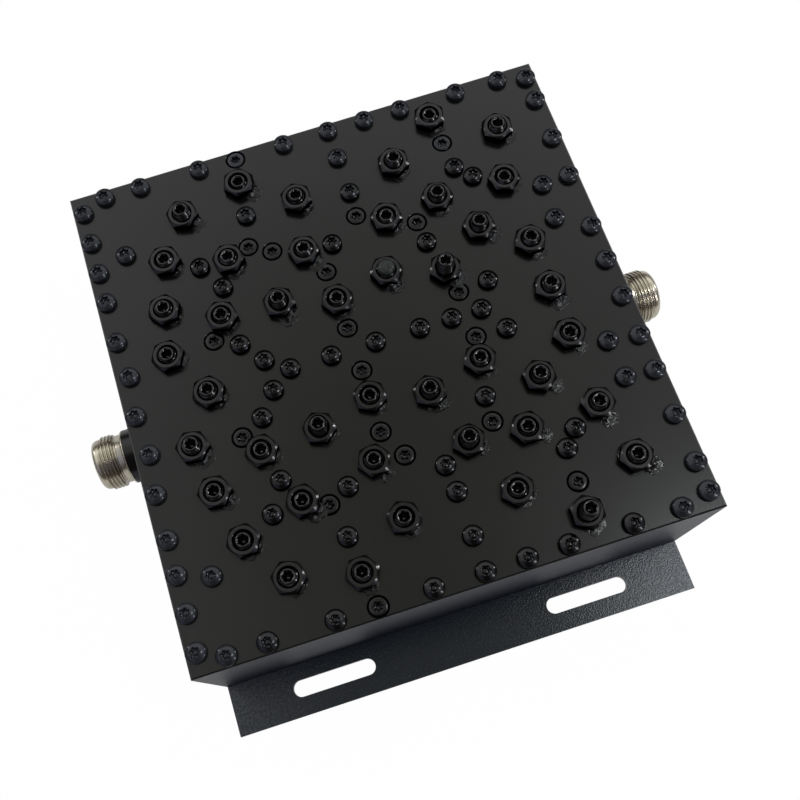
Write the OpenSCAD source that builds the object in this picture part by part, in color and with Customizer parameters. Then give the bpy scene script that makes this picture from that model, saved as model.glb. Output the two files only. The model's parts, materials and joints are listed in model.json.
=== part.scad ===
// Cavity filter: a milled housing with round cavities, each holding a post under a tuning screw.
// Two mirrored branches of coupled cavities run from the left coaxial connector to the right one.
// The base plate lies on z = 0, the connectors point along x and the mounting flanges along y.

/* [Body] */
// Width of the body, between the two connector walls
body_w = 140; // [126:1:160]
// Depth of the body, between the two flanges
body_d = 141; // [127:1:160]
// Height of the milled housing, without cover and base plate
housing_h = 42; // [40:1:60]
// Thickness of the floor under the cavities
floor_t = 5; // [4.5:0.5:8]
// Thickness of the cover
cover_t = 4; // [3:0.5:6]
// Bevel along the top edges of the cover
cover_bevel = 0.4; // [0.2:0.1:1]

/* [Base plate] */
// Thickness of the base plate
base_t = 2; // [1.6:0.2:4]
// How far the plate stands out as a flange, at the front and at the back
flange_d = 14.8; // [13:0.2:25]
// Length of a mounting slot, end to end
slot_l = 25; // [12:1:34]
// Width of a mounting slot
slot_w = 4.8; // [4.2:0.1:6.4]
// Distance of a slot's middle from the middle of the plate, sideways
slot_x = 39.2; // [30:0.2:48]
// Distance of a slot's middle from the outer edge of the flange
slot_inset = 7.8; // [5:0.2:9]
// Distance of the base plate's screws from the edges of the body
base_screw_inset = 5; // [4:0.5:6]

/* [Cavities] */
// Diameter of a cavity
cavity_d = 24; // [22:0.5:24.5]
// Width of the windows that couple two cavities
window_w = 6; // [5.6:0.2:6.4]
// Depth of the windows, below the cover
window_h = 27; // [15:1:32]
// How far a window's end runs into the cavity
window_overlap = 1; // [0.6:0.1:1.5]

/* [Resonator posts] */
// Outer diameter of a post
post_d = 10; // [9:0.5:12]
// Bore of a post, which takes the tuning screw
post_bore = 6.4; // [6:0.1:7]
// Height of a post
post_h = 30; // [26:0.5:32]
// Thickness of the solid foot under the bore
post_foot = 6; // [4:0.5:8]
// Length of the screw that holds a post, under its head
post_screw_l = 9.5; // [9:0.1:9.9]

/* [Cover screws] */
// Thread diameter of the cover, base and post screws
screw_d = 3; // [2.5:0.1:3.2]
// Length of a cover screw, under its head
cover_screw_l = 9; // [7:0.5:11]
// Length of a base plate screw, with its head
base_screw_l = 7; // [5:0.5:9]
// Diameter of a pan head
pan_d = 5.5; // [5:0.1:5.8]
// Height of a pan head
pan_h = 2.1; // [1.8:0.1:2.6]
// Height of the straight rim of a pan head
pan_rim = 0.8; // [0.4:0.1:1]
// Diameter of a flush head
flush_d = 5.6; // [5:0.1:5.8]
// Width of the six-lobe recess in a screw head
recess_d = 2.8; // [2.4:0.1:3]
// Width of the flutes between the lobes
flute_d = 0.8; // [0.6:0.1:1]
// Depth of the six-lobe recess
recess_h = 1.1; // [0.8:0.1:1.4]
// Distance of the outer screws from the edges of the cover
edge_inset = 3; // [2.9:0.1:3.4]

/* [Tuning screws] */
// Thread diameter of the tuning and coupling screws
tuner_d = 5; // [4.4:0.1:5.2]
// Bevel at the ends of a tuning or coupling screw
tuner_bevel = 0.6; // [0.3:0.1:0.8]
// How far a tuning screw dips into its post
tuner_dip = 6; // [3:0.5:10]
// How far a coupling screw reaches below the cover
coupler_reach = 11; // [6:0.5:14]
// Width of a lock nut across its flats
nut_af = 8; // [7.6:0.1:8.2]
// Height of a lock nut
nut_h = 2.7; // [2.4:0.1:4]
// Width of the round top face of a lock nut
nut_face_d = 7.4; // [7:0.1:7.6]
// Smallest step between the heights of the screws above their nuts
rise_h = 0.25; // [0.2:0.05:0.4]

/* [Connectors] */
// Height of the connectors' axis above the base plate
axis_h = 19.5; // [17:0.5:22]
// Diameter of the painted boss behind a connector
boss_d = 16; // [15:0.1:18]
// Length of the painted boss
boss_l = 6.6; // [5:0.1:8]
// Diameter of the rim that seats on the boss
rim_d = 16; // [15:0.1:17]
// Thickness of the rim
rim_l = 0.6; // [0.5:0.1:1.5]
// Diameter of the neck
neck_d = 14.3; // [13.5:0.1:15]
// Length of the neck
neck_l = 1.8; // [1.5:0.1:4]
// Diameter of the groove behind the thread
groove_d = 13.4; // [13:0.1:14.5]
// Length of the groove
groove_l = 0.7; // [0.5:0.1:1.5]
// Outer diameter of the coupling thread
thread_d = 15.88; // [15.4:0.02:16.2]
// Length of the coupling thread
thread_l = 4.1; // [3:0.1:8]
// Diameter of the smooth lip in front of the thread
lip_d = 14.8; // [14:0.1:15.2]
// Length of the lip
lip_l = 2.2; // [1:0.1:3]
// Bevel at the front of the lip
lip_bevel = 0.5; // [0.2:0.1:0.8]
// Diameter of the shank that is screwed into the boss
shank_d = 12; // [11:0.1:13]
// Length of the shank
shank_l = 11; // [8:0.5:12]
// Diameter of the socket that takes the mating plug
socket_d = 8.4; // [8:0.1:9]
// Depth of the socket
socket_h = 9.2; // [8:0.1:10]
// Diameter of the insulator
insulator_d = 7; // [6:0.1:7.6]
// How far the insulator stands out behind the shank
insulator_tail = 2; // [1:0.1:2.6]
// Diameter of the centre contact
contact_d = 3; // [2.8:0.1:3.2]
// Bore of the centre contact, for the mating pin
contact_bore = 1.7; // [1.5:0.1:1.9]
// How far the contact's tip lies behind the front of the lip
contact_setback = 4.6; // [4:0.1:6]
// How far the contact's solder cup stands out behind the insulator
cup_l = 4.5; // [3.5:0.1:5]
// Diameter of the tap wire from the contact to the first post
wire_d = 1.4; // [1:0.1:1.6]
// How deep the tap wire sits in the solder cup and in the post
wire_seat = 1.2; // [0.8:0.1:1.3]

/* [Clearances] */
// Radial clearance of a screw in its threaded hole, and of pieces that slide together
thread_gap = 0.05; // [0.03:0.01:0.08]
// Radial clearance of a screw in a plain hole, and of a flush head in its countersink
hole_gap = 0.15; // [0.1:0.01:0.2]
// Extra depth of a blind hole past the end of its screw
blind_gap = 0.4; // [0.2:0.1:0.5]

/* [Hidden] */
$fn = 64;
// How far a cutting solid runs past the face that it opens
cut = 1;
base_top = base_t;
floor_z = base_top + floor_t;
cover_z = base_top + housing_h;
top_z = cover_z + cover_t;
axis_z = base_top + axis_h;
post_top = floor_z + post_h;
plate_d = body_d + 2 * flange_d;
slot_y = plate_d / 2 - slot_inset;
edge_x = body_w / 2 - edge_inset;
edge_y = body_d / 2 - edge_inset;
dome_h = pan_h - pan_rim;
dome_r = (pow(pan_d / 2, 2) + pow(dome_h, 2)) / (2 * dome_h);
connector_l = boss_l + rim_l + neck_l + groove_l + thread_l + lip_l;
shank_end = boss_l - shank_l;
insulator_end = shank_end - insulator_tail;
contact_end = insulator_end - cup_l;

// Colours of the finishes
paint = "#2c2e2f";
black_steel = "#1c1d20";
nickel = "#b9b3a5";
silver = "#d5d3cd";
white_insulator = "#f1efe8";
gold = "#c9a24b";
copper = "#b87445";

// Body width and depth for which the places are charted; they spread with the body
chart = [140, 141];
spread_x = body_w / chart[0];
spread_y = body_d / chart[1];

// Resonators on the centre line and those of the rear branch, from the left, as [x, y]
line_ends = spread([[-46.5, 0], [49.5, 0]]);
branch = spread([
    [-52, 27], [-40, 54], [-8, 48.5], [-21.5, 19], [9, 18.5], [21.5, 50.5], [37.5, 23.5], [53, 51.5]
]);
// One half of the filter: the two common resonators, then the branch
half = concat(line_ends, branch);
resonators = concat(half, mirrored(branch));
branch_names = [for (row = ["rear", "front"], k = [1:len(branch)]) str(row, "_", k)];
resonator_names = concat(["left", "right"], branch_names);
// How many steps each tuning screw stands out of its nut, in the order of the resonators
tuner_steps = concat([6, 7], [4, 8, 4, 10, 7, 7, 9, 6], [3, 5, 2, 13, 10, 2, 8, 5]);
// Coupled pairs of one half, as [from, to, shift along the pair, shift sideways]
link_chart = [
    [0, 2, 1, 5], [2, 3, 0, 2.5], [3, 4, 0.5, 7.5], [4, 5, 0, 4.5], [2, 5, 0, -3], [3, 5, 0, -0.5],
    [5, 6, 0, -4], [6, 7, -0.5, 1], [7, 8, 1, -0.5], [6, 8, 0, -7], [7, 9, -1, 10.5], [8, 9, 0, -4.5],
    [8, 1, 0, 6.5]
];
shift = min(spread_x, spread_y);
links = [for (l = link_chart) [l[0], l[1], l[2] * shift, l[3] * shift]];
coupler_half = [for (l = links) coupler_spot(l)];
couplers = concat(coupler_half, mirrored(coupler_half));
// How many steps each coupling screw stands out of its nut, in the order of the couplers
coupler_steps = concat([3, 2, 1, 4, 3, 4, 2, 1, 8, 15, 1, 1, 6], [8, 1, 4, 4, 2, 1, 1, 13, 3, 4, 16, 6, 1]);
tuners = concat(resonators, couplers);
// Turn of each lock nut in degrees, as it happened to be tightened, in the order of the tuners
nut_turns = concat(
    [10, 14], [10, 44, 30, 38, 54, 30, 40, 22], [54, 42, 38, 40, 28, 12, 34, 0],
    [4, 50, 12, 48, 42, 46, 4, 38, 44, 6, 18, 42, 8], [48, 4, 2, 6, 2, 4, 32, 10, 0, 4, 28, 44, 56]
);

// Pan-head screws along the edges: places on the long rows and on the two sides
row_x = [-60, -49.5, -32, -6.5, 7, 18, 29, 46, 59] * spread_x;
left_y = [64.5, 54.5, 44.5, 35, 22.5] * spread_y;
right_y = [65.5, 57.5, 44, 31] * spread_y;
right_mid_y = [14, 3, -8.5, -20.5] * spread_y;
// Pan-head screws on the walls between the cavities: mirrored pairs, single ones and the centre line
wall_pairs = spread([
    [-66, 11.5], [-58.5, 47.5], [-23, 48.5], [-39.5, 37], [-35, 29], [7, 58], [7, 46], [37.5, 44],
    [41.5, 39.5], [59, 30.5], [22.5, 24], [58.5, 19.5], [34.5, 7.5], [-35, 11], [-30, 4.5]
]);
wall_singles = spread([[-2.5, 32], [6.5, -38.5], [-19, -36]]);
centre_x = [-24, -12.5, 0, 12.5, 21.5, 30] * spread_x;
edge_pairs = concat(
    [for (x = row_x) [x, edge_y]],
    [for (y = left_y) [-edge_x, y]],
    [for (y = right_y) [edge_x, y]]
);
pan_spots = concat(
    edge_pairs, mirrored(edge_pairs), [[-edge_x, 0]], [for (y = right_mid_y) [edge_x, y]],
    wall_pairs, mirrored(wall_pairs), wall_singles, [for (x = centre_x) [x, 0]]
);
// Flush screws, where a pan head would be in the way of the nuts
flush_edge_x = -21 * spread_x;
flush_walls = spread([[-25, 39], [-6.5, 24.5], [22, 31], [-41.5, 14.5], [-6, 6.5], [26, 7], [37, 53]]);
flush_pairs = concat([[flush_edge_x, edge_y]], flush_walls);
flush_singles = spread([[-19, 35.5], [6.5, 38.5], [-2.5, -32.5]]);
flush_spots = concat(flush_pairs, mirrored(flush_pairs), flush_singles);
base_screw_rear = [for (x = [-1, 0, 1]) [x * (body_w / 2 - base_screw_inset), body_d / 2 - base_screw_inset]];
base_screw_spots = concat(base_screw_rear, mirrored(base_screw_rear));
slot_spots = [for (x = [-slot_x, slot_x], y = [-slot_y, slot_y]) [x, y]];

sides = ["left", "right"];
connector_pieces = ["connector_shell", "insulator", "centre_contact", "tap_wire"];

// Charted places, spread to the size of the body
function spread(spots) = [for (p = spots) [p[0] * spread_x, p[1] * spread_y]];
// The same places on the other side of the centre line
function mirrored(spots) = [for (p = spots) [p[0], -p[1]]];
function link_vector(l) = half[l[1]] - half[l[0]];
function link_unit(l) = link_vector(l) / norm(link_vector(l));
function link_side(l) = [-link_unit(l)[1], link_unit(l)[0]];
// Middle of a link's window, and the place of its coupling screw in it
function window_spot(l) = (half[l[0]] + half[l[1]]) / 2 + l[3] * link_side(l);
function coupler_spot(l) = window_spot(l) + l[2] * link_unit(l);
// Straight length of a window, from inside one cavity to inside the other
function window_l(l) =
    norm(link_vector(l)) - 2 * sqrt(pow(cavity_d / 2, 2) - pow(l[3], 2)) + 2 * window_overlap;

module at_each(spots) {
    for (p = spots) translate([p[0], p[1], 0]) children();
}

// A hole cut upwards or downwards from a face at z, past that face
module hole_below(z, d, depth) {
    translate([0, 0, z - depth]) cylinder(d = d, h = depth + cut);
}
module hole_above(z, d, depth) {
    translate([0, 0, z - cut]) cylinder(d = d, h = depth + cut);
}

// A straight cutter with round ends, lying along x
module round_slot(l, w, h) {
    translate([-(l - w) / 2, -w / 2, 0]) cube([l - w, w, h]);
    for (s = [-1, 1]) translate([s * (l - w) / 2, 0, 0]) cylinder(d = w, h = h);
}

// A six-lobe recess, cut down from z = 0
module six_lobe() {
    translate([0, 0, -recess_h]) linear_extrude(recess_h + cut) difference() {
        circle(d = recess_d);
        for (k = [0:5]) rotate(60 * k) translate([recess_d / 2, 0]) circle(d = flute_d);
    }
}

// A pan-head screw, its head seated on z = 0
module pan_screw(l) {
    difference() {
        union() {
            translate([0, 0, -l]) cylinder(d = screw_d, h = l + pan_rim);
            rotate_extrude() intersection() {
                square([pan_d / 2, pan_h]);
                translate([0, pan_h - dome_r]) circle(r = dome_r);
            }
        }
        translate([0, 0, pan_h]) six_lobe();
    }
}

// A flush screw, the top of its right-angled head at z = 0
module flush_screw(l) {
    head_h = (flush_d - screw_d) / 2;
    difference() {
        union() {
            translate([0, 0, -l]) cylinder(d = screw_d, h = l - head_h / 2);
            translate([0, 0, -head_h]) cylinder(d1 = screw_d, d2 = flush_d, h = head_h);
        }
        six_lobe();
    }
}

// The countersink for a flush screw, cut down from z = 0
module countersink() {
    top_d = flush_d + 2 * hole_gap;
    translate([0, 0, -top_d / 2]) cylinder(d1 = 0, d2 = top_d, h = top_d / 2);
    cylinder(d = top_d, h = cut);
}

// A screw without a head, from its lower end up to its recess at the top
module headless_screw(low, high) {
    bevelled_d = tuner_d - 2 * tuner_bevel;
    difference() {
        union() {
            translate([0, 0, low]) cylinder(d1 = bevelled_d, d2 = tuner_d, h = tuner_bevel);
            translate([0, 0, low + tuner_bevel]) cylinder(d = tuner_d, h = high - low - 2 * tuner_bevel);
            translate([0, 0, high - tuner_bevel]) cylinder(d1 = tuner_d, d2 = bevelled_d, h = tuner_bevel);
        }
        translate([0, 0, high]) six_lobe();
    }
}

// A lock nut seated on z = 0, with the corners of its top turned down
module lock_nut() {
    corner_d = nut_af / cos(30);
    difference() {
        intersection() {
            cylinder(d = corner_d, h = nut_h, $fn = 6);
            translate([0, 0, -cut]) cylinder(
                d1 = nut_face_d + 2 * (nut_h + cut) / tan(30), d2 = nut_face_d, h = nut_h + cut
            );
        }
        translate([0, 0, -cut]) cylinder(d = tuner_d + 2 * thread_gap, h = nut_h + 2 * cut);
    }
}

// Outline of a slab with its top edges bevelled
module bevelled_outline(w) {
    polygon([
        [-w / 2, 0], [w / 2, 0], [w / 2, cover_t - cover_bevel], [w / 2 - cover_bevel, cover_t],
        [cover_bevel - w / 2, cover_t], [-w / 2, cover_t - cover_bevel]
    ]);
}

// Puts a piece on a side wall, with z pointing out along the connector's axis
module on_wall(side) {
    turn = side == "left" ? 180 : 0;
    rotate(turn) translate([body_w / 2, 0, axis_z]) rotate([0, 90, 0]) children();
}

// How far the common resonator of a side lies behind its wall
function post_setback(side) = body_w / 2 - abs(half[side == "left" ? 0 : 1][0]);

module housing() {
    tap_d = screw_d + 2 * thread_gap;
    cover_hole_h = cover_screw_l - cover_t + blind_gap;
    color(paint) difference() {
        union() {
            translate([-body_w / 2, -body_d / 2, base_top]) cube([body_w, body_d, housing_h]);
            for (side = sides) on_wall(side) hole_above(0, boss_d, boss_l);
        }
        at_each(resonators) translate([0, 0, floor_z]) cylinder(d = cavity_d, h = housing_h);
        for (l = links) {
            turn = atan2(link_unit(l)[1], link_unit(l)[0]);
            spot = window_spot(l);
            for (s = [0, 1]) mirror([0, s, 0]) translate([spot[0], spot[1], cover_z - window_h])
                rotate(turn) round_slot(window_l(l) + window_w, window_w, window_h + cut);
        }
        at_each(concat(pan_spots, flush_spots)) hole_below(cover_z, tap_d, cover_hole_h);
        at_each(base_screw_spots) hole_above(base_top, tap_d, base_screw_l - base_t + blind_gap);
        at_each(resonators) hole_below(floor_z, tap_d, post_screw_l - post_foot + blind_gap);
        for (side = sides) on_wall(side) {
            hole_below(boss_l, shank_d + 2 * thread_gap, shank_l);
            hole_below(0, insulator_d, post_setback(side));
        }
    }
}

module cover_plate() {
    color(paint) translate([0, 0, cover_z]) difference() {
        intersection() {
            rotate([90, 0, 0]) linear_extrude(body_d + 2 * cut, center = true) bevelled_outline(body_w);
            rotate([90, 0, 90]) linear_extrude(body_w + 2 * cut, center = true) bevelled_outline(body_d);
        }
        at_each(concat(pan_spots, flush_spots)) hole_below(cover_t, screw_d + 2 * hole_gap, cover_t + cut);
        at_each(flush_spots) translate([0, 0, cover_t]) countersink();
        at_each(tuners) hole_below(cover_t, tuner_d + 2 * thread_gap, cover_t + cut);
    }
}

module base_plate() {
    color(paint) difference() {
        translate([-body_w / 2, -plate_d / 2, 0]) cube([body_w, plate_d, base_t]);
        at_each(slot_spots) translate([0, 0, -cut]) round_slot(slot_l, slot_w, base_t + 2 * cut);
        at_each(base_screw_spots) {
            hole_above(0, screw_d + 2 * hole_gap, base_t + cut);
            rotate([180, 0, 0]) countersink();
        }
    }
}

module cover_screws() {
    color(black_steel) at_each(pan_spots) translate([0, 0, top_z]) pan_screw(cover_screw_l);
}

module flush_screws() {
    color(paint) at_each(flush_spots) translate([0, 0, top_z]) flush_screw(cover_screw_l);
}

module base_plate_screws() {
    color(black_steel) at_each(base_screw_spots) rotate([180, 0, 0]) flush_screw(base_screw_l);
}

module lock_nuts() {
    color(black_steel) for (k = [0:len(tuners) - 1])
        translate([tuners[k][0], tuners[k][1], top_z]) rotate(nut_turns[k]) lock_nut();
}

module tuning_screws() {
    color(black_steel) for (k = [0:len(resonators) - 1])
        translate([resonators[k][0], resonators[k][1], 0])
            headless_screw(post_top - tuner_dip, top_z + nut_h + tuner_steps[k] * rise_h);
}

module coupling_screws() {
    color(black_steel) for (k = [0:len(couplers) - 1])
        translate([couplers[k][0], couplers[k][1], 0])
            headless_screw(cover_z - coupler_reach, top_z + nut_h + coupler_steps[k] * rise_h);
}

module post_screws() {
    color(nickel) at_each(resonators) translate([0, 0, floor_z + post_foot]) pan_screw(post_screw_l);
}

// A resonator post; the two common ones have a side hole for the tap wire
module post(k) {
    color(silver) difference() {
        translate([resonators[k][0], resonators[k][1], 0]) difference() {
            translate([0, 0, floor_z]) cylinder(d = post_d, h = post_h);
            hole_below(post_top, post_bore, post_h - post_foot);
            hole_above(floor_z, screw_d + 2 * hole_gap, post_foot + cut);
        }
        if (k < len(line_ends)) on_wall(sides[k])
            translate([0, 0, post_d / 2 - wire_seat - post_setback(sides[k])])
                cylinder(d = wire_d + 2 * thread_gap, h = post_d);
    }
}

// The turned shell of a coaxial connector, with its shank behind z = boss_l
module connector_shell(side) {
    neck_z = boss_l + rim_l;
    groove_z = neck_z + neck_l;
    thread_z = groove_z + groove_l;
    lip_z = thread_z + thread_l;
    color(nickel) on_wall(side) rotate_extrude() polygon([
        [insulator_d / 2, shank_end], [shank_d / 2, shank_end], [shank_d / 2, boss_l],
        [rim_d / 2, boss_l], [rim_d / 2, neck_z], [neck_d / 2, neck_z], [neck_d / 2, groove_z],
        [groove_d / 2, groove_z], [groove_d / 2, thread_z], [thread_d / 2, thread_z], [thread_d / 2, lip_z],
        [lip_d / 2, lip_z], [lip_d / 2, connector_l - lip_bevel], [lip_d / 2 - lip_bevel, connector_l],
        [socket_d / 2 + lip_bevel, connector_l], [socket_d / 2, connector_l - lip_bevel],
        [socket_d / 2, connector_l - socket_h], [insulator_d / 2, connector_l - socket_h]
    ]);
}

module insulator(side) {
    color(white_insulator) on_wall(side) difference() {
        translate([0, 0, insulator_end])
            cylinder(d = insulator_d - 2 * thread_gap, h = connector_l - socket_h - insulator_end);
        translate([0, 0, insulator_end - cut])
            cylinder(d = contact_d + 2 * thread_gap, h = connector_l);
    }
}

// The slotted spring contact in front, with a solder cup behind
module centre_contact(side) {
    tip = connector_l - contact_setback;
    spring_l = connector_l - socket_h;
    color(gold) on_wall(side) difference() {
        translate([0, 0, contact_end]) cylinder(d = contact_d, h = tip - contact_end);
        hole_below(tip, contact_bore, tip - spring_l);
        hole_above(contact_end, wire_d + 2 * thread_gap, wire_seat);
        for (turn = [45, 135]) rotate(turn)
            translate([-contact_d / 2 - cut, -hole_gap, spring_l])
                cube([contact_d + 2 * cut, 2 * hole_gap, tip - spring_l + cut]);
    }
}

module tap_wire(side) {
    near = contact_end + wire_seat;
    far = post_d / 2 - wire_seat - post_setback(side);
    color(copper) on_wall(side) translate([0, 0, far]) cylinder(d = wire_d, h = near - far);
}

housing();
cover_plate();
base_plate();
cover_screws();
flush_screws();
base_plate_screws();
lock_nuts();
tuning_screws();
coupling_screws();
post_screws();
for (k = [0:len(resonators) - 1])
    post(k);
for (side = sides) {
    connector_shell(side);
    insulator(side);
    centre_contact(side);
    tap_wire(side);
}
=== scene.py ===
"""Cavity filter: paint, fasteners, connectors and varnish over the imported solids. Lengths are in metres."""

import json
import math

import bmesh
import bpy
from mathutils import Matrix, Vector


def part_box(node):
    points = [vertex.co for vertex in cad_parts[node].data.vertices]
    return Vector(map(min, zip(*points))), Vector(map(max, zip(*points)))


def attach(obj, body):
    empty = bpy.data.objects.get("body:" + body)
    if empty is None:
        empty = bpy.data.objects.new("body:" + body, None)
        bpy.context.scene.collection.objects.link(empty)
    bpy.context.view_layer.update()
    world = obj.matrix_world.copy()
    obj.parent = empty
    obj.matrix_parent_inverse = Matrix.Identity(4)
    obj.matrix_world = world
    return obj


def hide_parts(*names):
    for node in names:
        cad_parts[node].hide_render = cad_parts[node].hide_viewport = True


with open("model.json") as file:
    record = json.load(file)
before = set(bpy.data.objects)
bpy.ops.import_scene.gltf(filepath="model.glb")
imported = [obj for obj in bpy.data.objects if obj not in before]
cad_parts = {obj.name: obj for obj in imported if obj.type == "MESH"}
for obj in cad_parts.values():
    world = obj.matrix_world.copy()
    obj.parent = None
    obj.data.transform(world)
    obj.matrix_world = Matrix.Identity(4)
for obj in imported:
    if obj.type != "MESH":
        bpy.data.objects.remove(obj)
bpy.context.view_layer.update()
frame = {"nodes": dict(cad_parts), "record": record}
nodes = frame["nodes"]
MM = 0.001
TAU = math.tau


class Wire:
    """A socket of a node tree. Its operators add Math nodes, and node() adds any other node to the tree."""

    def __init__(self, tree, socket=None):
        self.tree, self.socket = tree, socket

    def node(self, kind, settings=(), sockets=(), out=0):
        made = self.tree.nodes.new(kind)
        for key, value in dict(settings).items():
            if key == "choices":
                for _ in range(value - len(made.index_switch_items)):
                    made.index_switch_items.new()
            else:
                setattr(made, key, value)
        for key, value in dict(sockets).items():
            if isinstance(value, Wire):
                self.tree.links.new(value.socket, made.inputs[key])
            else:
                made.inputs[key].default_value = value
        return Wire(self.tree, made.outputs[out])

    def other(self, out):
        """Another output of the same node."""
        return Wire(self.tree, self.socket.node.outputs[out])

    def into(self, socket):
        self.tree.links.new(self.socket, socket)

    def math(self, operation, *values):
        return self.node("ShaderNodeMath", {"operation": operation}, dict(enumerate(values)))

    def __add__(self, value):
        return self.math("ADD", self, value)

    def __sub__(self, value):
        return self.math("SUBTRACT", self, value)

    def __rsub__(self, value):
        return self.math("SUBTRACT", value, self)

    def __mul__(self, value):
        return self.math("MULTIPLY", self, value)

    def __truediv__(self, value):
        return self.math("DIVIDE", self, value)

    def __rtruediv__(self, value):
        return self.math("DIVIDE", value, self)

    __radd__, __rmul__ = __add__, __mul__

    def step(self, low, high):
        """0 below low, 1 above high, smooth between."""
        settings = {"interpolation_type": "SMOOTHSTEP"}
        return self.node("ShaderNodeMapRange", settings, {0: self, 1: low, 2: high})

    def tint(self, first, second):
        """The first colour where this is 0 and the second where it is 1."""
        colours = {0: self, 6: first, 7: second}
        for key in (6, 7):
            if not isinstance(colours[key], Wire):
                colours[key] = (*colours[key], 1)
        return self.node("ShaderNodeMix", {"data_type": "RGBA"}, colours, out=2)

    def vector(self, x, y, z):
        return self.node("ShaderNodeCombineXYZ", {}, {0: x, 1: y, 2: z})

    def axes(self):
        """The x, y and z of this vector."""
        parts = self.node("ShaderNodeSeparateXYZ", {}, {0: self})
        return [parts.other(axis) for axis in "XYZ"]


class Finish:
    """A material with its shader, and patterns on the object's own coordinates."""

    def __init__(self, name, **constants):
        self.material = bpy.data.materials.new(name)
        self.material.use_nodes = True
        self.shader = self.material.node_tree.nodes["Principled BSDF"]
        for key, value in constants.items():
            self.shader.inputs[key.replace("_", " ")].default_value = value
        self.wire = Wire(self.material.node_tree)
        self.place = self.wire.node("ShaderNodeTexCoord", out="Object")

    def stretched(self, scale, turn=(0, 0, 0)):
        sockets = {"Vector": self.place, "Rotation": turn, "Scale": scale}
        return self.wire.node("ShaderNodeMapping", {}, sockets)

    def noise(self, size, detail=3.0, roughness=0.5, place=None):
        sockets = {"Vector": place or self.place, "Scale": 1 / size, "Detail": detail, "Roughness": roughness}
        return self.wire.node("ShaderNodeTexNoise", {}, sockets)

    def cells(self, size, feature="F1"):
        """The distance from the middle of a cell, or from its edge."""
        sockets = {"Vector": self.place, "Scale": 1 / size}
        return self.wire.node("ShaderNodeTexVoronoi", {"feature": feature}, sockets, out="Distance")

    def walls(self, low, high):
        """1 on upright faces and 0 on those that face up, between two steepnesses."""
        normal = self.wire.node("ShaderNodeNewGeometry", out="Normal")
        return 1 - normal.axes()[2].step(low, high)

    def feed(self, **wires):
        for key, wire in wires.items():
            wire.into(self.shader.inputs[key.replace("_", " ")])

    def bump(self, height, distance, strength=1.0):
        sockets = {"Height": height, "Distance": distance, "Strength": strength}
        self.wire.node("ShaderNodeBump", {}, sockets).into(self.shader.inputs["Normal"])


def body_paint():
    """Satin black paint with a faint orange peel, wiped streaks and a little dust, and a bluish reflection of
    light painted onto the walls.
    """
    paint = Finish("body_paint", Specular_IOR_Level=0.31)
    clouds = paint.noise(0.045, 4).step(0.3, 0.7)
    streaks = paint.noise(0.02, 3, place=paint.stretched((4, 0.35, 1), (0, 0, 0.1))).step(0.56, 0.8)
    dust = 1 - paint.cells(0.0042).step(0.02, 0.05)
    thin = paint.noise(0.012).step(0.5, 0.62)
    upright_painted_blue = paint.walls(0.3, 0.7)
    tone = clouds.tint((0.0027, 0.0028, 0.0024), (0.0034, 0.0035, 0.003))
    tone = (streaks * 0.5).tint(tone, (0.006, 0.0067, 0.005))
    # Painted light: the walls are tinted blue for the bluish light they reflect.
    tone = upright_painted_blue.tint(tone, (0.003, 0.006, 0.014))
    paint.feed(Base_Color=(dust * thin * 0.3).tint(tone, (0.045, 0.045, 0.042)))
    paint.feed(Roughness=0.2 + upright_painted_blue * 0.25 + clouds * 0.03 - streaks * 0.03 + paint.noise(0.0006, 2) * 0.04)
    paint.bump(paint.noise(0.0008, 2) + paint.noise(0.0002, 1) * 0.3, 0.00001, 0.6)
    return paint.material


def powder_coat():
    """Powder coat with a fine grain that sparkles a little, with pale flecks painted in as glints and painted
    light that makes it paler towards the left and right ends.
    """
    coat = Finish("base_powder_coat", Specular_IOR_Level=0.31)
    grain = coat.noise(0.0007, 3, 0.6)
    painted_glint_flecks = coat.noise(0.0005, 1).step(0.64, 0.74)
    across = coat.place.axes()[0]
    # Painted light: the left and right ends are painted paler, as the light that falls there.
    painted_end_light = across.step(0.025, 0.075) + (across * -1).step(0.03, 0.085) * 0.65
    painted_light_tone = grain.step(0.34, 0.66).tint((0.017, 0.021, 0.028), (0.081, 0.087, 0.099))
    tone = painted_end_light.tint(grain.tint((0.003, 0.0065, 0.012), (0.007, 0.012, 0.018)), painted_light_tone)
    # Painted glints: tiny pale flecks stand in for the sparkle of light on the grain.
    coat.feed(Base_Color=(painted_glint_flecks * 0.5).tint(tone, (0.1, 0.105, 0.11)))
    coat.feed(Roughness=0.18 + grain * 0.1)
    coat.bump(coat.cells(0.00048) + grain * 0.1, 0.00003, 1.0)
    return coat.material


def steel_grey(level):
    """A grey that leans a little to blue."""
    return (level, level, level * 1.02)


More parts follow.
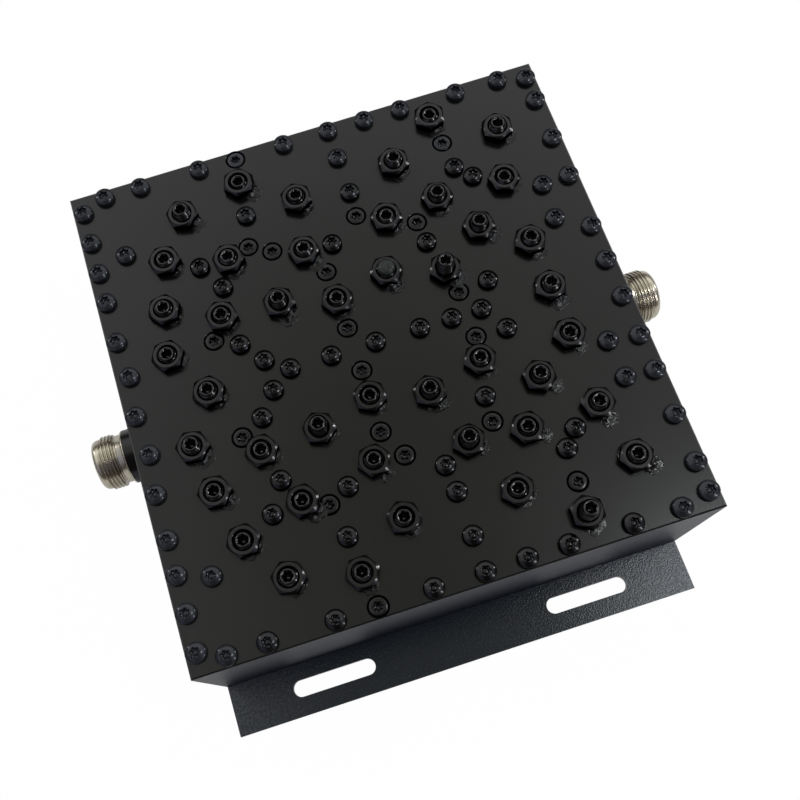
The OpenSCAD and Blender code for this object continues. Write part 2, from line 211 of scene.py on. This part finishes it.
def black_steel(name, dark, light, bare, edge_light_share=0.0):
    """Black coated steel, rubbed to a bare tone in spots, with upright faces painted near black as shade and
    a lighter, less metallic bluish tone painted towards the part's sides and rear as the brighter light
    there.
    """
    steel = Finish(name, Specular_Tint=(0.25, 0.25, 0.25, 1))
    patches = steel.noise(0.0016, 4)
    rubbed = steel.noise(0.0007, 4, 0.65).step(0.62, 0.75)
    across, along, _ = steel.place.axes()
    beside = steel.wire.math("ABSOLUTE", across).step(0.04, 0.068)
    # Painted light, not dust: a lighter, less metallic bluish tone towards the part's sides and rear, where
    # more light falls.
    dust = steel.wire.math("MAXIMUM", beside, along.step(0.035, 0.068)) * edge_light_share
    tone = patches.tint(steel_grey(dark), steel_grey(light))
    tone = (rubbed * 0.5).tint(tone, steel_grey(bare))
    # Painted shade: upright faces are painted near black, as the shaded flanks and rims.
    tone = (steel.walls(0.1, 0.45) * 0.85).tint(tone, (0.003, 0.003, 0.004))
    steel.feed(Base_Color=dust.tint(tone, (0.036, 0.039, 0.046)), Metallic=1 - dust * 0.65)
    steel.feed(Roughness=0.13 + patches * 0.12 + rubbed * 0.06)
    steel.bump(patches + steel.noise(0.0003, 2) * 0.4, 0.00002, 0.4)
    return steel.material


def plated(name, dark, light, low, high):
    """A plated metal with handling marks: two tones and two roughnesses."""
    metal = Finish(name, Metallic=1.0)
    marks = metal.noise(0.0022, 5, 0.6)
    turned = metal.noise(0.0006, 2, place=metal.stretched((9, 0.6, 0.6)))
    metal.feed(Base_Color=marks.tint(dark, light))
    metal.feed(Roughness=low + (high - low) * marks + turned * 0.08)
    metal.bump(turned + marks * 0.3, 0.000008, 0.15)
    return metal.material


def painted_gap_shade():
    """Painted shade for the narrow gap around a flush head: near-black paint that stands in for the unlit
    gap.
    """
    gap = Finish("painted_gap_shade", Specular_IOR_Level=0.0, Roughness=0.8)
    # Painted shade: near black with no gloss, as the unlit gap.
    gap.feed(Base_Color=gap.noise(0.0008, 3).tint((0.0006, 0.0006, 0.0007), (0.003, 0.003, 0.003)))
    return gap.material


def white_insulator():
    """White fluoropolymer, a little cloudy."""
    plastic = Finish("white_insulator")
    cloud = plastic.noise(0.0018, 3)
    plastic.feed(Base_Color=cloud.tint((0.78, 0.77, 0.73), (0.86, 0.855, 0.83)))
    plastic.feed(Roughness=0.5 + cloud * 0.15)
    plastic.bump(plastic.noise(0.0003, 2), 0.00001, 0.5)
    return plastic.material


def varnish():
    """Dried clear varnish over black paint: glossy, wrinkled, a little milky, crazed near the front right."""
    film = Finish("locking_varnish", Specular_IOR_Level=0.26)
    wrinkles = film.noise(0.0013, 4, 0.6)
    milky = film.noise(0.003, 3).step(0.45, 0.7)
    across, along, _ = film.place.axes()
    cracks = 1 - film.cells(0.0009, "DISTANCE_TO_EDGE").step(0.03, 0.13)
    crazed = cracks * film.noise(0.0011, 2).step(0.46, 0.6) * (across - along).step(0.05, 0.105)
    tone = milky.tint((0.0022, 0.0024, 0.002), (0.0048, 0.0052, 0.0042))
    film.feed(Base_Color=(crazed * 0.65).tint(tone, (0.4, 0.41, 0.39)))
    film.feed(Roughness=0.18 + milky * 0.15)
    film.bump(wrinkles + film.noise(0.0005, 2) * 0.3, 0.00014, 0.9)
    return film.material


def dusty_varnish():
    """The varnish that fills one screw's recess, grey-green with dust."""
    film = Finish("dusty_varnish", Specular_IOR_Level=0.25)
    dust = film.noise(0.0007, 4, 0.7)
    film.feed(Base_Color=dust.step(0.35, 0.75).tint((0.003, 0.0045, 0.004), (0.034, 0.042, 0.036)))
    film.feed(Roughness=0.25 + dust * 0.4)
    film.bump(dust, 0.00015, 0.8)
    return film.material


FINISHES = {
    "body_paint": body_paint(),
    "base_powder_coat": powder_coat(),
    "black_steel": black_steel("black_steel", 0.026, 0.038, 0.09),
    "worn_black_steel": black_steel("worn_black_steel", 0.036, 0.056, 0.3),
    "black_steel_painted_edge_light": black_steel("black_steel_painted_edge_light", 0.02, 0.031, 0.08, 0.75),
    "bright_steel": plated("bright_steel", (0.5, 0.49, 0.47), (0.66, 0.65, 0.62), 0.2, 0.4),
    "silver_plate": plated("silver_plate", (0.78, 0.75, 0.7), (0.88, 0.87, 0.84), 0.16, 0.34),
    "nickel_plate": plated("nickel_plate", (0.37, 0.335, 0.265), (0.5, 0.47, 0.38), 0.16, 0.3),
    "white_insulator": white_insulator(),
    "gold_plate": plated("gold_plate", (0.72, 0.46, 0.15), (0.86, 0.6, 0.25), 0.12, 0.26),
    "copper_wire": plated("copper_wire", (0.56, 0.27, 0.14), (0.74, 0.4, 0.24), 0.18, 0.36),
    "locking_varnish": varnish(),
    "painted_gap_shade": painted_gap_shade(),
    "dusty_varnish": dusty_varnish(),
}
for part in frame["record"]["subparts"]:
    solid = nodes[part["node"]].data
    solid.materials.clear()
    solid.materials.append(FINISHES[part["material_slot"]])


def solids_of(node):
    """The separate solids of a CAD node, each as the places of its corners."""
    copy = bmesh.new()
    copy.from_mesh(nodes[node].data)
    bmesh.ops.remove_doubles(copy, verts=copy.verts, dist=1e-7)
    left, found = set(copy.verts), []
    while left:
        heap, solid = [left.pop()], []
        while heap:
            corner = heap.pop()
            solid.append(corner.co.copy())
            near = {edge.other_vert(corner) for edge in corner.link_edges} & left
            left -= near
            heap.extend(near)
        found.append(solid)
    copy.free()
    return found


def seats_of(node):
    """For each solid of a node: its axis in x and y, its lowest and highest level and its turn."""
    seats = []
    for corners in solids_of(node):
        lows, highs = ([pick(c[k] for c in corners) for k in range(3)] for pick in (min, max))
        x, y = ((lows[k] + highs[k]) / 2 for k in range(2))
        far = max(corners, key=lambda c: (c.x - x) ** 2 + (c.y - y) ** 2)
        seats.append((x, y, lows[2], highs[2], math.atan2(far.y - y, far.x - x)))
    return sorted(seats)


class Maker:
    """A Geometry Nodes tree whose places, sizes and finish are named inputs."""

    def __init__(self, name, **sizes):
        self.tree = bpy.data.node_groups.new(name, "GeometryNodeTree")
        socket = self.tree.interface.new_socket
        socket("Places", in_out="INPUT", socket_type="NodeSocketGeometry")
        for label, value in sizes.items():
            socket(label, in_out="INPUT", socket_type="NodeSocketFloat").default_value = value
        socket("Finish", in_out="INPUT", socket_type="NodeSocketMaterial")
        socket("Pieces", in_out="OUTPUT", socket_type="NodeSocketGeometry")
        self.wire = Wire(self.tree).node("NodeGroupInput")

    def size(self, label):
        return self.wire.other(label)

    def place(self):
        """The x, y and z of each corner."""
        return self.wire.node("GeometryNodeInputPosition").axes()

    def attribute(self, label):
        return self.wire.node("GeometryNodeInputNamedAttribute", {"data_type": "FLOAT"}, {"Name": label})

    def random(self, low, high, seed):
        sockets = {2: low, 3: high, "Seed": seed}
        return self.wire.node("FunctionNodeRandomValue", {"data_type": "FLOAT"}, sockets, out=1)

    def choose(self, index, values):
        """The value with this index. One number that all share needs no switch."""
        numbers = {value for value in values if not isinstance(value, Wire)}
        if len(numbers) == 1 and not any(isinstance(value, Wire) for value in values):
            return values[0]
        settings = {"data_type": "FLOAT", "choices": len(values)}
        sockets = {0: index, **{k + 1: value for k, value in enumerate(values)}}
        return self.wire.node("GeometryNodeIndexSwitch", settings, sockets)

    def move(self, shape, **by):
        """Moves the corners of a shape to a Position or by an Offset."""
        return self.wire.node("GeometryNodeSetPosition", {}, {"Geometry": shape, **by})

    def turned(self, rings, segments, rule):
        """A closed shape of rings, each a tuple. The rule turns an angle and a ring's values into
        a radius and a height."""
        counts = {"Size X": 1.0, "Size Y": 1.0, "Vertices X": segments + 1, "Vertices Y": len(rings)}
        sheet = self.wire.node("GeometryNodeMeshGrid", {}, counts, out="Mesh")
        across, along, _ = self.place()
        angle = (across + 0.5) * TAU
        ring = self.wire.math("ROUND", (along + 0.5) * (len(rings) - 1))
        columns = [self.choose(ring, column) for column in zip(*rings)]
        radius, height = rule(angle, *columns)
        x, y = (radius * self.wire.math(wave, angle) for wave in ("COSINE", "SINE"))
        rolled = self.move(sheet, Position=self.wire.vector(x, y, height))
        return self.wire.node("GeometryNodeMergeByDistance", {}, {"Geometry": rolled, "Distance": 1e-6})

    def plain(self, angle, radius, height):
        """The rule of a plain turned shape."""
        return radius, height

    def lobed(self, angle, radius, height, lobe):
        """The rule of a shape whose rings may have six lobes."""
        return radius + lobe * self.wire.math("COSINE", angle * 6), height

    def thread(self, angle, height, pitch, low, high):
        """0 at the root of a thread and 1 on its crest, with flanks between two heights."""
        phase = self.wire.math("FRACT", height / pitch - angle / TAU)
        return (self.wire.math("PINGPONG", phase, 0.5) * 2).step(low, high)

    def instances(self, shape, turn=0.0, tilt=0.0, scale=(1, 1, 1)):
        """The shape at every place, scaled, tilted about y and turned about z."""
        rotation = self.wire.vector(0.0, tilt, turn)
        sockets = {"Points": self.size("Places"), "Instance": shape, "Rotation": rotation, "Scale": scale}
        placed = self.wire.node("GeometryNodeInstanceOnPoints", {}, sockets)
        return self.wire.node("GeometryNodeRealizeInstances", {}, {"Geometry": placed})

    def close(self, shape, crease=0.6):
        """Ends the tree: smooth faces, edges sharper than the crease angle kept sharp, and the finish."""
        smooth = self.wire.node("GeometryNodeSetShadeSmooth", {}, {"Geometry": shape, "Shade Smooth": True})
        angle = self.wire.node("GeometryNodeInputMeshEdgeAngle")
        sharp = self.wire.node("FunctionNodeCompare", {"operation": "GREATER_THAN"}, {0: angle, 1: crease})
        edges = {"Geometry": smooth, "Selection": sharp, "Shade Smooth": False}
        creased = self.wire.node("GeometryNodeSetShadeSmooth", {"domain": "EDGE"}, edges)
        coated = {"Geometry": creased, "Material": self.size("Finish")}
        end = self.tree.nodes.new("NodeGroupOutput")
        self.wire.node("GeometryNodeSetMaterial", {}, coated).into(end.inputs["Pieces"])

    def make(self, name, places, finish, slot, replaced=()):
        """Runs the tree on places, keeps the result as a plain mesh and lets it ride on the part.
        A place is x, y and z, then a turn and a reach where the tree asks for them."""
        cloud = bpy.data.meshes.new(name + "_places")
        cloud.from_pydata([place[:3] for place in places], [], [])
        for k, label in enumerate(("turn", "reach"), 3):
            values = [place[k] if len(place) > k else 0.0 for place in places]
            cloud.attributes.new(label, "FLOAT", "POINT").data.foreach_set("value", values)
        holder = bpy.data.objects.new(name + "_places", cloud)
        bpy.context.scene.collection.objects.link(holder)
        modifier = holder.modifiers.new("pieces", "NODES")
        modifier.node_group = self.tree
        modifier[self.tree.interface.items_tree["Finish"].identifier] = FINISHES[finish]
        seen = holder.evaluated_get(bpy.context.evaluated_depsgraph_get())
        mesh = bpy.data.meshes.new_from_object(seen)
        mesh.name = name
        piece = bpy.data.objects.new(name, mesh)
        bpy.context.scene.collection.objects.link(piece)
        bpy.data.objects.remove(holder)
        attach(piece, "root")
        for node in replaced:
            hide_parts(node)


COVER_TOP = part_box("cover_plate")[1].z


def pan_head_maker():
    """Pan-head screws: a domed head with a straight rim and a six-lobe recess."""
    sizes = {"Head": 5.5 * MM, "Height": 2.1 * MM, "Shank": 3 * MM, "Length": 9 * MM, "Recess": 2.8 * MM}
    maker = Maker("pan_head_screws", **sizes)
    half, shank, lobe = (maker.size(label) / 2 for label in ("Head", "Shank", "Recess"))
    tall, length = maker.size("Height"), maker.size("Length")
    rings = [
        (0.0, length * -1, 0.0),
        (shank * 0.8, length * -1, 0.0),
        (shank, length * -0.96, 0.0),
        (shank, 0.0, 0.0),
        (half, 0.0, 0.0),
        (half, tall * 0.45, 0.0),
        (half * 0.985, tall * 0.53, 0.0),
        (half * 0.95, tall * 0.6, 0.0),
        (half * 0.88, tall * 0.67, 0.0),
        (half * 0.79, tall * 0.74, 0.0),
        (half * 0.68, tall * 0.81, 0.0),
        (lobe * 1.1, tall * 0.87, 0.0),
        (lobe * 0.93, tall * 0.89, lobe * 0.12),
        (lobe * 0.89, tall * 0.85, lobe * 0.13),
        (lobe * 0.84, tall * 0.4, lobe * 0.13),
        (lobe * 0.62, tall * 0.34, lobe * 0.06),
        (lobe * 0.35, tall * 0.42, 0.0),
        (0.0, tall * 0.44, 0.0),
    ]
    head = maker.turned(rings, 36, maker.lobed)
    maker.close(maker.instances(head, maker.random(0.0, TAU, 11)))
    return maker


def flush_head_maker():
    """Flush screws: a flat top with a rounded rim that sinks into the countersink."""
    maker = Maker("flush_screws", Head=5.6 * MM, Shank=3 * MM, Length=9 * MM, Recess=2.8 * MM)
    half, shank, lobe = (maker.size(label) / 2 for label in ("Head", "Shank", "Recess"))
    length = maker.size("Length")
    rings = [
        (0.0, length * -1, 0.0),
        (shank * 0.8, length * -1, 0.0),
        (shank, length * -0.96, 0.0),
        (shank, half * -0.5, 0.0),
        (half * 0.83, half * -0.28, 0.0),
        (half * 0.83, half * -0.05, 0.0),
        (half * 0.82, half * -0.02, 0.0),
        (half * 0.8, half * -0.01, 0.0),
        (lobe * 1.08, half * -0.01, 0.0),
        (lobe * 0.93, half * -0.015, lobe * 0.12),
        (lobe * 0.89, half * -0.04, lobe * 0.13),
        (lobe * 0.84, half * -0.52, lobe * 0.13),
        (lobe * 0.4, half * -0.62, lobe * 0.03),
        (0.0, half * -0.72, 0.0),
    ]
    head = maker.turned(rings, 36, maker.lobed)
    maker.close(maker.instances(head, maker.random(0.0, TAU, 23)))
    return maker


def gap_shade_ring_maker():
    """A thin ring down in the countersink around a flush head, painted near black as the gap's shade."""
    maker = Maker("flush_head_gap_shade", Outer=5.9 * MM, Inner=4.6 * MM)
    outer, inner = maker.size("Outer") / 2, maker.size("Inner") / 2
    rings = [(inner, -0.5 * MM), (outer, -0.03 * MM), (outer, -0.05 * MM), (inner, -0.52 * MM)]
    ring = maker.turned(rings + rings[:1], 36, maker.plain)
    maker.close(maker.instances(ring), 1.2)
    return maker


def lock_nut_maker():
    """Lock nuts: hexagons with both ends turned down and a countersunk thread."""
    maker = Maker("lock_nuts", Flats=8 * MM, Height=2.7 * MM, Face=7.4 * MM, Bore=5 * MM)
    flats, face, bore = (maker.size(label) / 2 for label in ("Flats", "Face", "Bore"))
    tall = maker.size("Height")
    slope = math.tan(math.radians(30))

    def rule(angle, hexed, radius, height, drop):
        fold = maker.wire.math("MODULO", angle, TAU / 6) - TAU / 12
        hexagon = flats / maker.wire.math("COSINE", fold)
        past = maker.wire.math("MAXIMUM", hexagon - face, 0.0)
        inner = maker.wire.math("MINIMUM", hexagon, radius)
        return hexed * hexagon + (1 - hexed) * inner, height - drop * past * slope

    rings = [
        (0.0, bore, 0.0, 0.0),
        (0.0, bore * 1.14, 0.0, 0.0),
        (0.0, face * 0.98, 0.0, 0.0),
        (1.0, 0.0, 0.15 * MM, -0.6),
        (1.0, 0.0, tall - 0.06 * MM, 1.0),
        (0.0, face, tall, 0.0),
        (0.0, bore * 1.16, tall, 0.0),
        (0.0, bore * 1.13, tall - 0.05 * MM, 0.0),
        (0.0, bore * 1.01, tall - 0.6 * MM, 0.0),
        (0.0, bore * 1.01, tall - 1.2 * MM, 0.0),
        (0.0, bore, 0.0, 0.0),
    ]
    nut = maker.turned(rings, 48, rule)
    maker.close(maker.instances(nut, maker.attribute("turn")), 0.45)
    return maker


def tuner_maker():
    """Headless screws with bevelled ends and a six-lobe recess, threaded at the top.
    The foot is drawn down until the screw is as long as its reach."""
    sizes = {"Thread": 5 * MM, "Pitch": 0.8 * MM, "Depth": 0.32 * MM, "Recess": 2.8 * MM, "Bevel": 0.6 * MM}
    maker = Maker("headless_screws", **sizes)
    half, lobe = maker.size("Thread") / 2, maker.size("Recess") / 2
    pitch, depth, bevel = (maker.size(label) for label in ("Pitch", "Depth", "Bevel"))
    threaded, rows = 5.2 * MM, 42
    foot, foot_bevel = -6 * MM, 0.5 * MM
    core = half - depth
    rings = [(0.0, foot, 0.0, 0.0), (half - bevel, foot, 0.0, 0.0), (core, foot + foot_bevel, 0.0, 0.0)]
    rings += [(core, bevel * -0.8 - threaded * (1 - k / rows), 0.0, 1.0) for k in range(rows)]
    rings += [
        (half - bevel * 0.75, bevel * -0.6, 0.0, 0.35),
        (half - bevel, bevel * -0.12, 0.0, 0.0),
        (half - bevel * 1.15, 0.0, 0.0, 0.0),
        (lobe * 1.16, 0.0, 0.0, 0.0),
        (lobe * 1.12, -0.02 * MM, lobe * 0.03, 0.0),
        (lobe * 0.9, -0.3 * MM, lobe * 0.11, 0.0),
        (lobe * 0.86, -0.4 * MM, lobe * 0.13, 0.0),
        (lobe * 0.84, -2.2 * MM, lobe * 0.13, 0.0),
        (lobe * 0.4, -2.6 * MM, 0.0, 0.0),
        (0.0, -3.0 * MM, 0.0, 0.0),
    ]

    def rule(angle, radius, height, lobe, ridge):
        radius = radius + ridge * depth * maker.thread(angle, height, pitch, 0.12, 0.82)
        return maker.lobed(angle, radius, height, lobe)

    screw = maker.turned(rings, 28, rule)
    low = maker.wire.math("LESS_THAN", maker.place()[2], foot + foot_bevel * 1.2)
    settings = {"data_type": "FLOAT", "domain": "POINT"}
    sockets = {"Geometry": screw, "Name": "foot", "Value": low}
    marked = maker.wire.node("GeometryNodeStoreNamedAttribute", settings, sockets)
    placed = maker.instances(marked, maker.random(0.0, TAU, 37))
    drop = maker.attribute("foot") * (maker.attribute("reach") + foot) * -1
    maker.close(maker.move(placed, Offset=maker.wire.vector(0.0, 0.0, drop)), 1.2)
    return maker


def varnish_maker():
    """Lumps of locking varnish that run down one side of each nut and out over the cover."""
    maker = Maker("varnish_lumps", Reach=2.9 * MM, Height=1.5 * MM, Inside=3.6 * MM)
    reach, tall, inside = (maker.size(label) for label in ("Reach", "Height", "Inside"))
    ragged, ragged_up = 2.2 * MM, 1.2 * MM
    rings = [(0.0, 1.0), (0.1, 0.95), (0.2, 0.78), (0.32, 0.5), (0.44, 0.3), (0.56, 0.17), (0.7, 0.1)]
    rings += [(0.82, 0.09), (0.9, 0.1), (0.95, 0.08), (1.0, -0.01), (0.0, -0.01), (0.0, 1.0)]

    def rule(angle, out, level):
        window = maker.wire.math("COSINE", angle).step(0.72, 0.97)
        return inside + out * (reach * window + 0.2 * MM), level * tall * (window * 0.95 + 0.05)

    lump = maker.turned(rings, 72, rule)
    turn = maker.attribute("turn") + maker.random(-0.4, 0.4, 5)
    shares = (maker.random(0.72, 1.06, 6), maker.random(0.8, 1.06, 7), maker.random(0.35, 1.1, 8))
    lumps = maker.instances(lump, turn, scale=maker.wire.vector(*shares))
    spot = maker.wire.node("GeometryNodeInputPosition")
    sockets = {"Vector": spot, "Scale": 620.0, "Detail": 3.0}
    noise = maker.wire.node("ShaderNodeTexNoise", {}, sockets, out="Color")
    shift = maker.wire.node("ShaderNodeVectorMath", {"operation": "SUBTRACT"}, {0: noise, 1: (0.5, 0.5, 0.5)})
    upward = (spot.axes()[2] - COVER_TOP).step(0.0, 0.3 * MM) * ragged_up
    amount = maker.wire.vector(ragged, ragged, upward)
    offset = maker.wire.node("ShaderNodeVectorMath", {"operation": "MULTIPLY"}, {0: shift, 1: amount})
    maker.close(maker.move(lumps, Offset=offset), 1.2)
    return maker


def sealed_cap_maker():
    """A drop of varnish that fills the recess of a screw and covers its end."""
    maker = Maker("sealed_cap", Width=5 * MM, Rise=0.2 * MM)
    half, rise = maker.size("Width") / 2, maker.size("Rise")
    rings = [(0.0, -1.0 * MM), (half * 0.98, -1.0 * MM), (half, -0.7 * MM), (half * 0.94, -0.4 * MM)]
    rings += [(half * 0.8, -0.1 * MM), (half * 0.6, rise * 0.4), (half * 0.35, rise * 0.9), (0.0, rise)]
    maker.close(maker.instances(maker.turned(rings, 36, maker.plain)), 1.2)
    return maker


def plain_rings(*pairs):
    """Rings without a thread, from radius and height in millimetres."""
    return [(radius * MM, height * MM, 0.0) for radius, height in pairs]


def shell_maker():
    """A turned connector shell with its coupling thread, made upright and laid along x."""
    maker = Maker("connector_shells", Thread=15.88 * MM, Pitch=1.058 * MM, Depth=0.55 * MM)
    half, pitch, depth = maker.size("Thread") / 2, maker.size("Pitch"), maker.size("Depth")
    start, end, rows, runout = 9.7, 13.8, 96, 8
    shank = plain_rings((3.5, -4.4), (6, -4.4), (6, 6.6))
    rim = plain_rings((7.9, 6.6), (8, 6.7), (8, 6.95), (7.8, 7.2), (7.3, 7.25))
    neck = plain_rings((7.15, 7.4), (7.15, 8.85), (7.05, 8.97), (6.75, 9.05))
    groove = plain_rings((6.7, 9.15), (6.7, 9.55), (6.8, 9.7))
    thread = []
    for k in range(rows + 1):
        height = (start + (end - start) * k / rows) * MM
        thread.append((half - depth, height, min(1, k / runout, (rows - k) / runout)))
    lip = plain_rings((7.35, 13.85), (7.4, 13.95), (7.4, 14.6), (7.3, 15.15), (7.05, 15.6), (6.7, 15.9))
    lip += plain_rings((6.3, 16), (4.9, 16), (4.65, 15.95), (4.3, 15.65))
    socket = plain_rings((4.2, 15.5), (4.2, 6.9), (4.1, 6.8), (3.5, 6.8), (3.5, -4.4))

    def rule(angle, radius, height, ridge):
        return radius + ridge * depth * maker.thread(angle, height, pitch, 0.1, 0.8), height

    shell = maker.turned(shank + rim + neck + groove + thread + lip + socket, 144, rule)
    maker.close(maker.instances(shell, maker.attribute("turn"), tilt=TAU / 4), 1.2)
    return maker


def fasteners():
    """The screws and nuts on the cover, with painted shade rings in the gaps around the flush heads."""
    heads = [(x, y, COVER_TOP) for x, y, *_ in seats_of("cover_screws")]
    pan_head_maker().make("cover_pan_heads", heads, "black_steel_painted_edge_light", "black_steel", ["cover_screws"])
    flush = [(x, y, high) for x, y, low, high, turn in seats_of("flush_screws")]
    flush_head_maker().make("cover_flush_heads", flush, "black_steel_painted_edge_light", "black_steel", ["flush_screws"])
    gap_shade_ring_maker().make("flush_head_gap_shade", flush, "painted_gap_shade", "body_paint")
    nuts = [(x, y, low, turn) for x, y, low, high, turn in seats_of("lock_nuts")]
    lock_nut_maker().make("hex_lock_nuts", nuts, "black_steel", "black_steel", ["lock_nuts"])
    tuners = tuner_maker()
    for node in ("tuning_screws", "coupling_screws"):
        screws = [(x, y, high, 0.0, high - low) for x, y, low, high, turn in seats_of(node)]
        tuners.make("threaded_" + node, screws, "worn_black_steel", "black_steel", [node])


def locking_varnish():
    """A lump at each nut, all on the same side, and a drop on the one tuning screw that is sealed over."""
    smear_turn = math.radians(-58)
    feet = [(x, y, COVER_TOP, smear_turn) for x, y, *_ in seats_of("lock_nuts")]
    varnish_maker().make("varnish_lumps", feet, "locking_varnish", "body_paint")
    sealed = (9 * MM, 18.5 * MM)
    x, y, _, high, _ = min(seats_of("tuning_screws"), key=lambda seat: math.dist(seat[:2], sealed))
    sealed_cap_maker().make("sealed_cap", [(x, y, high)], "dusty_varnish", "body_paint")


def connectors():
    """A threaded shell on each side wall."""
    shells = shell_maker()
    wall_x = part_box("cover_plate")[1].x
    axis_z = sum(corner.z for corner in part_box("left_connector_shell")) / 2
    for side, sign, turn in (("left", -1, math.pi), ("right", 1, 0.0)):
        place = (sign * wall_x, 0.0, axis_z, turn)
        shell = side + "_connector_shell"
        shells.make(side + "_threaded_shell", [place], "nickel_plate", "nickel_plate", [shell])


def camera():
    """The photograph's view: focal length and principal point in pixels of an image of 800."""
    width, focal, middle = 800, 884.9, (367.1, 462.8)
    eye = Vector((-22.29, -94.84, 267.61)) * MM
    right, up, back = (0.9521, -0.3024, -0.0446), (0.3026, 0.912, 0.277), (-0.0431, -0.2773, 0.9598)
    data = bpy.data.cameras.new("camera")
    data.sensor_width = 36
    data.lens = focal * data.sensor_width / width
    data.shift_x = 0.5 - middle[0] / width
    data.shift_y = middle[1] / width - 0.5
    data.clip_start = 0.01
    viewer = bpy.data.objects.new("camera", data)
    viewer.matrix_world = Matrix.Translation(eye) @ Matrix((right, up, back)).transposed().to_4x4()
    bpy.context.scene.collection.objects.link(viewer)
    bpy.context.scene.camera = viewer


def lamp(name, azimuth, elevation, distance, size, power, colour=(1, 1, 1)):
    """A soft lamp that looks at the part. Azimuth 0 is the front and 90 the right."""
    data = bpy.data.lights.new(name, "AREA")
    data.shape, data.size, data.size_y = "RECTANGLE", *size
    data.energy, data.color = power, colour
    light = bpy.data.objects.new(name, data)
    a, e = math.radians(azimuth), math.radians(elevation)
    back = Vector((math.sin(a) * math.cos(e), -math.cos(a) * math.cos(e), math.sin(e)))
    aim = back.to_track_quat("Z", "Y").to_matrix().to_4x4()
    light.matrix_world = Matrix.Translation(back * distance) @ aim
    bpy.context.scene.collection.objects.link(light)


def white_floor():
    """A floor that shows white, keeps a faint shadow and shows dimmer in what mirrors it."""
    white = Finish("white_floor", Base_Color=(0.9, 0.9, 0.9, 1), Roughness=0.9, Specular_IOR_Level=0.0)
    rays = white.wire.node("ShaderNodeLightPath")
    mirrored = white.wire.math("MAXIMUM", rays.other("Is Glossy Ray"), rays.other("Is Transmission Ray"))
    seen = white.wire.math("MAXIMUM", rays.other("Is Camera Ray") * 0.985, mirrored * 0.46)
    glow = white.wire.node("ShaderNodeEmission", {}, {"Color": (1, 1, 1, 1), "Strength": 1.0})
    lit = Wire(white.wire.tree, white.shader.outputs[0])
    mixed = white.wire.node("ShaderNodeMixShader", {}, {0: seen, 1: lit, 2: glow})
    mixed.into(white.material.node_tree.nodes["Material Output"].inputs["Surface"])

    mesh = bpy.data.meshes.new("floor")
    reach, level = 6.0, -0.2 * MM
    corners = [(x * reach, y * reach, level) for x, y in ((-1, -1), (1, -1), (1, 1), (-1, 1))]
    mesh.from_pydata(corners, [], [(0, 1, 2, 3)])
    mesh.materials.append(white.material)
    floor = bpy.data.objects.new("floor", mesh)
    bpy.context.scene.collection.objects.link(floor)


def room():
    """A ceiling that is brighter to the sides and the rear, over a dark front with bluish light beside it."""
    world = bpy.data.worlds.new("room")
    world.use_nodes = True
    bpy.context.scene.world = world
    wire = Wire(world.node_tree)
    across, along, up = wire.node("ShaderNodeTexCoord", out="Generated").axes()
    aside = wire.math("POWER", (across - 0.08) / 0.3, 2)
    behind = wire.math("POWER", wire.math("MAXIMUM", (along - 0.25) / 0.33, 0.0), 2)
    glow = wire.math("MINIMUM", wire.math("MINIMUM", aside, 0.9) + behind, 1.5) / 1.5
    ceiling = glow.tint((0.59, 0.59, 0.535), (1.6, 1.62, 1.62))
    overhead = up.step(0.3, 0.62) * along.step(-0.25, 0.08)
    overhead = overhead * (1 - wire.math("ABSOLUTE", across - 0.05).step(0.6, 0.95))
    beside = across.step(0.2, 0.38) + (across * -1).step(0.3, 0.5)
    front = (beside * up.step(0.25, 0.55)).tint((0.112, 0.093, 0.086), (0.42, 0.44, 0.58))
    overhead.tint(front, ceiling).into(world.node_tree.nodes["Background"].inputs["Color"])


fasteners()
locking_varnish()
connectors()
camera()
white_floor()
room()
lamp("rear_left_strip", 227, 26, 0.9, (0.06, 0.1), 0.5)
lamp("right_strip", 98, 26, 0.9, (0.06, 0.12), 1.0)
lamp("front_right_strip", 48, 33, 0.7, (0.03, 0.3), 0.8)
lamp("right_softbox", 76, 65, 0.82, (0.1, 0.1), 0.74, (0.92, 0.97, 1.0))

bpy.context.scene.view_settings.view_transform = "Standard"
